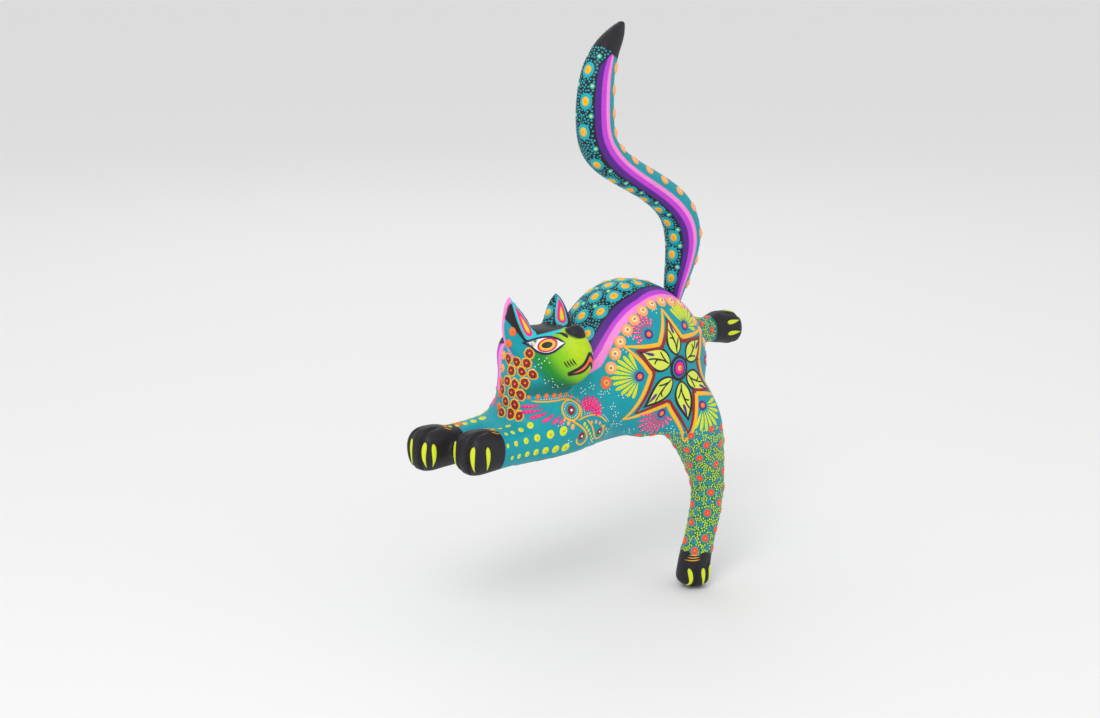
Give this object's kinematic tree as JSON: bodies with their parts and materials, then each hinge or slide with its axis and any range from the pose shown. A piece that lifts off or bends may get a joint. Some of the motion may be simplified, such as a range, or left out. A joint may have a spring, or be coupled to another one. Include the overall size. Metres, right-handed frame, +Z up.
{
  "type": "painted wooden cat figure",
  "caption": "Carved and painted wooden cat that lies along a shelf's edge: head turned aside, one hind leg hanging down the front, the other stretched back, tall curved tail that lifts out.",
  "frame": {"origin": "middle of the flat underside, where it meets the top of the shelf at the shelf's front edge zone", "axes": "+Z up, the forelegs point along -X, the stretched hind leg along +X, and the hanging leg is on the -Y side"},
  "size_m": [0.256, 0.0838, 0.296],
  "materials": {
    "painted_body": "satin acrylic paint on carved softwood",
    "painted_head": "satin acrylic paint on carved softwood",
    "painted_ears": "satin acrylic paint on carved softwood",
    "painted_limbs": "satin acrylic paint on carved softwood",
    "painted_tail": "satin acrylic paint on carved softwood",
    "bare_wood": "bare wood"
  },
  "bodies": {
    "carving": {"torso": "painted_body", "head": "painted_head", "left_ear": "painted_ears", "right_ear": "painted_ears", "left_hind_leg": "painted_limbs", "right_hind_leg": "painted_limbs", "neck_dowel": "bare_wood", "left_hind_leg_dowel": "bare_wood", "right_hind_leg_dowel": "bare_wood"},
    "tail": {"tail": "painted_tail"}
  },
  "joints": [
    {"name": "tail_lift", "type": "slide", "parent": "carving", "child": "tail", "axis": [0.1392, 0, 0.9903], "range_m": [0, 0.022]}
  ]
}
